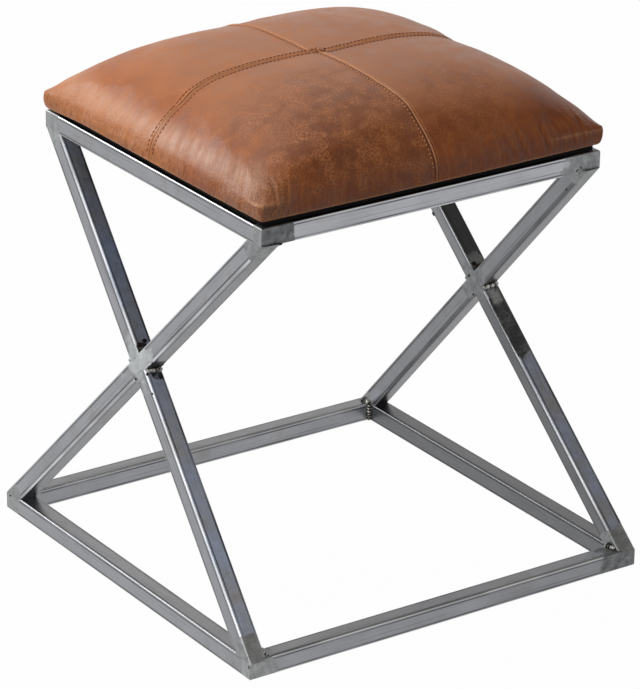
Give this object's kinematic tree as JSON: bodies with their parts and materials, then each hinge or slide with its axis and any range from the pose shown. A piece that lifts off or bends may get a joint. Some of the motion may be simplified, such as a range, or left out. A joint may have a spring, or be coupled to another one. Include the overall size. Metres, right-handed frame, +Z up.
{
  "type": "x frame stool",
  "caption": "Backless stool with a crowned leather seat on a welded square tube frame, an X of legs on two sides and flat rings at top and floor.",
  "frame": {"origin": "middle of the base ring, on the floor", "axes": "+Z up through the middle of the seat, +X from the left X of legs to the right one, -Y out of the open front"},
  "size_m": [0.448, 0.448, 0.5063],
  "materials": {
    "bare_steel": "satin",
    "weld_metal": "satin",
    "zinc_screw": "satin",
    "black_board": "matte",
    "dust_cloth": "matte",
    "plywood": "matte",
    "foam": "matte",
    "wadding": "matte",
    "leather": "satin"
  },
  "bodies": {
    "root": {"top_rail_front": "bare_steel", "top_rail_back": "bare_steel", "top_rail_left": "bare_steel", "top_rail_right": "bare_steel", "base_rail_front": "bare_steel", "base_rail_back": "bare_steel", "base_rail_left": "bare_steel", "base_rail_right": "bare_steel", "left_leg_through": "bare_steel", "left_leg_upper_half": "bare_steel", "left_leg_lower_half": "bare_steel", "right_leg_through": "bare_steel", "right_leg_upper_half": "bare_steel", "right_leg_lower_half": "bare_steel", "left_cross_weld_front": "weld_metal", "left_cross_weld_back": "weld_metal", "left_cross_weld_upper": "weld_metal", "left_cross_weld_lower": "weld_metal", "right_cross_weld_front": "weld_metal", "right_cross_weld_back": "weld_metal", "right_cross_weld_upper": "weld_metal", "right_cross_weld_lower": "weld_metal", "top_ring_weld_front_left": "weld_metal", "top_ring_weld_front_right": "weld_metal", "top_ring_weld_back_right": "weld_metal", "top_ring_weld_back_left": "weld_metal", "base_ring_weld_front_left": "weld_metal", "base_ring_weld_front_right": "weld_metal", "base_ring_weld_back_right": "weld_metal", "base_ring_weld_back_left": "weld_metal", "leg_head_weld_front_left": "weld_metal", "leg_head_weld_front_right": "weld_metal", "leg_head_weld_back_right": "weld_metal", "leg_head_weld_back_left": "weld_metal", "leg_foot_weld_front_left": "weld_metal", "leg_foot_weld_front_right": "weld_metal", "leg_foot_weld_back_right": "weld_metal", "leg_foot_weld_back_left": "weld_metal", "corner_plate_front_left": "bare_steel", "corner_plate_front_right": "bare_steel", "corner_plate_back_right": "bare_steel", "corner_plate_back_left": "bare_steel", "seat_screw_front_left": "zinc_screw", "seat_screw_front_right": "zinc_screw", "seat_screw_back_right": "zinc_screw", "seat_screw_back_left": "zinc_screw", "base_board": "black_board", "dust_cover": "dust_cloth", "seat_board": "plywood", "foam_pad": "foam", "wadding_layer": "wadding", "leather_panel_front_left": "leather", "leather_panel_front_right": "leather", "leather_panel_back_right": "leather", "leather_panel_back_left": "leather"}
  },
  "joints": []
}
